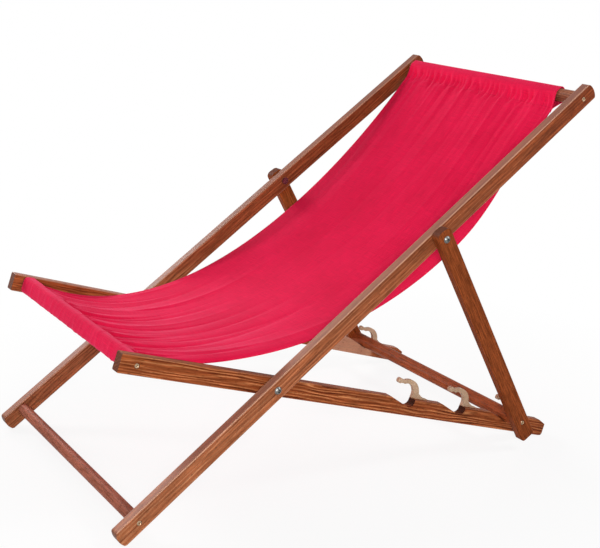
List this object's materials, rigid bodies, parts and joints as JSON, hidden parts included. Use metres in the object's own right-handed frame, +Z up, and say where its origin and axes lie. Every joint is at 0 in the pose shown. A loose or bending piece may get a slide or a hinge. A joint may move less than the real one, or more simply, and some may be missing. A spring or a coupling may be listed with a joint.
{
  "type": "folding beach chair",
  "caption": "Folding wooden beach chair: crossed hardwood frames, a hanging crimson canvas sling, and a prop frame whose bar locks into hooked notches.",
  "frame": {"origin": "on the floor, in the middle of the chair's outline seen from above", "axes": "+X to the sitter's left, -Y to the front where the sitter's legs go, +Y to the head of the backrest, +Z up"},
  "size_m": [0.6226, 1.0446, 0.7708],
  "materials": {
    "hardwood": "oiled reddish brown hardwood, straight grain, satin",
    "hardwood_prop": "oiled reddish brown hardwood, slightly darker, satin",
    "zinc_steel": "bright zinc plating",
    "hook_nylon": "moulded, fine matte",
    "canvas": "plain woven cotton canvas, matte"
  },
  "bodies": {
    "seat_frame": {"seat_rail_left": "hardwood", "seat_rail_right": "hardwood", "front_bar": "hardwood", "front_bar_screws": "zinc_steel", "hook_left_front": "hook_nylon", "hook_left_middle": "hook_nylon", "hook_left_rear": "hook_nylon", "hook_right_front": "hook_nylon", "hook_right_middle": "hook_nylon", "hook_right_rear": "hook_nylon", "hook_screws": "zinc_steel", "seat_pivot_bolts": "zinc_steel", "seat_pivot_washers": "zinc_steel", "seat_pivot_nuts": "zinc_steel", "canvas_sling": "canvas"},
    "back_frame": {"long_rail_left": "hardwood", "long_rail_right": "hardwood", "head_bar": "hardwood", "foot_bar": "hardwood", "head_bar_screws": "zinc_steel", "foot_bar_screws": "zinc_steel"},
    "prop_frame": {"prop_leg_left": "hardwood_prop", "prop_leg_right": "hardwood_prop", "prop_bar": "hardwood_prop", "prop_bar_screws": "zinc_steel", "prop_pivot_bolts": "zinc_steel", "prop_pivot_washers": "zinc_steel", "prop_pivot_nuts": "zinc_steel"}
  },
  "joints": [
    {"name": "back_tilt", "type": "hinge", "parent": "seat_frame", "child": "back_frame", "pos_m": [0, -0.20947, 0.2328], "axis": [1, 0, 0], "range_deg": [0, 13], "deforming": ["canvas_sling"]},
    {"name": "prop_swing", "type": "hinge", "parent": "back_frame", "child": "prop_frame", "pos_m": [0, 0.13991, 0.48688], "axis": [1, 0, 0], "range_deg": [-16.5, 0]}
  ],
  "couplings": [
    {"joint": "prop_swing", "follows": "back_tilt", "ratio": -1.26}
  ]
}
